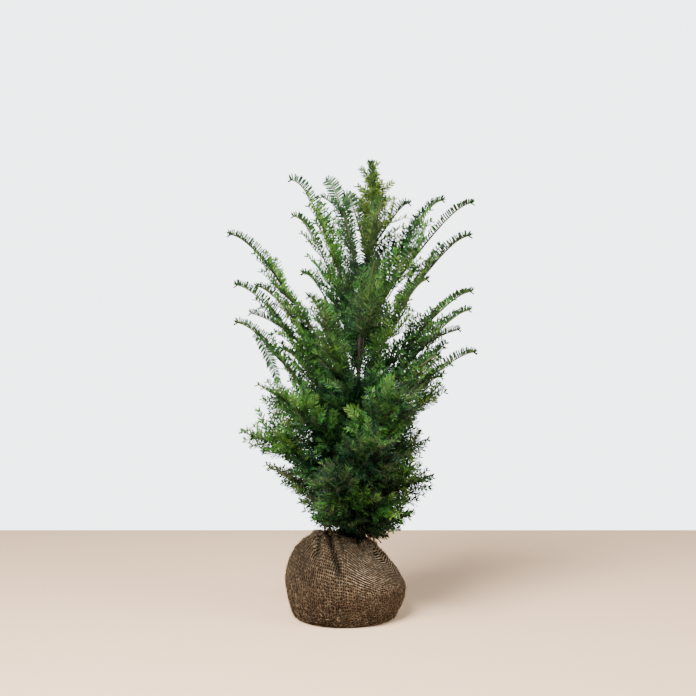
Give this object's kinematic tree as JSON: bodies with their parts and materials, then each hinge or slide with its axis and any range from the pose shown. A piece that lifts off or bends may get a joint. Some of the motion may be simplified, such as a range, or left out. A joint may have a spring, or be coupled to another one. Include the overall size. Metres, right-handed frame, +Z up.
{
  "type": "sapling with root ball",
  "caption": "Young needle-leaved evergreen with an upright trunk, long nodding boughs and a close lower crown, standing on a root ball wrapped in coarse jute.",
  "frame": {"origin": "middle of the root ball's flat underside, on the floor", "axes": "+Z up along the trunk, +X to the right as seen from the front, +Y to the back"},
  "size_m": [0.6088, 0.5023, 1.122],
  "materials": {
    "bark": "matt, finely scaled brown bark",
    "needles": "satin, dark to fresh green",
    "soil_ball": "matt open-weave jute over soil",
    "jute_knot": "matt, frayed jute"
  },
  "bodies": {
    "root": {"root_ball": "soil_ball", "wrap_knot_left": "jute_knot", "wrap_knot_right": "jute_knot", "trunk": "bark", "bough_left_long": "bark", "foliage_left_long": "needles", "bough_left_upper": "bark", "foliage_left_upper": "needles", "bough_left_back_upper": "bark", "foliage_left_back_upper": "needles", "bough_left_wide": "bark", "foliage_left_wide": "needles", "bough_left_wide_back": "bark", "foliage_left_wide_back": "needles", "bough_left_outer": "bark", "foliage_left_outer": "needles", "bough_right_upper": "bark", "foliage_right_upper": "needles", "bough_right_upper_back": "bark", "foliage_right_upper_back": "needles", "bough_right_mid": "bark", "foliage_right_mid": "needles", "bough_right_wide": "bark", "foliage_right_wide": "needles", "bough_right_wide_back": "bark", "foliage_right_wide_back": "needles", "bough_right_low": "bark", "foliage_right_low": "needles", "foliage_front_left": "needles", "foliage_front_mid": "needles", "foliage_front_right": "needles", "foliage_front_upper": "needles", "foliage_back_left": "needles", "foliage_back_mid": "needles", "foliage_back_upper": "needles", "foliage_right_inner": "needles", "foliage_left_inner": "needles", "foliage_left_mid": "needles", "foliage_left_low": "needles", "foliage_right_low_front": "needles", "foliage_leader_right": "needles", "foliage_leader_front": "needles", "foliage_leader_left": "needles", "foliage_leader_back": "needles", "foliage_lower_1_1": "needles", "foliage_lower_1_2": "needles", "foliage_lower_1_3": "needles", "foliage_lower_2_1": "needles", "foliage_lower_2_2": "needles", "foliage_lower_2_3": "needles", "foliage_lower_2_4": "needles", "foliage_lower_3_1": "needles", "foliage_lower_3_2": "needles", "foliage_lower_3_3": "needles", "foliage_lower_3_4": "needles", "foliage_lower_4_1": "needles", "foliage_lower_4_2": "needles", "foliage_lower_4_3": "needles", "foliage_lower_4_4": "needles", "foliage_leader": "needles"}
  },
  "joints": []
}
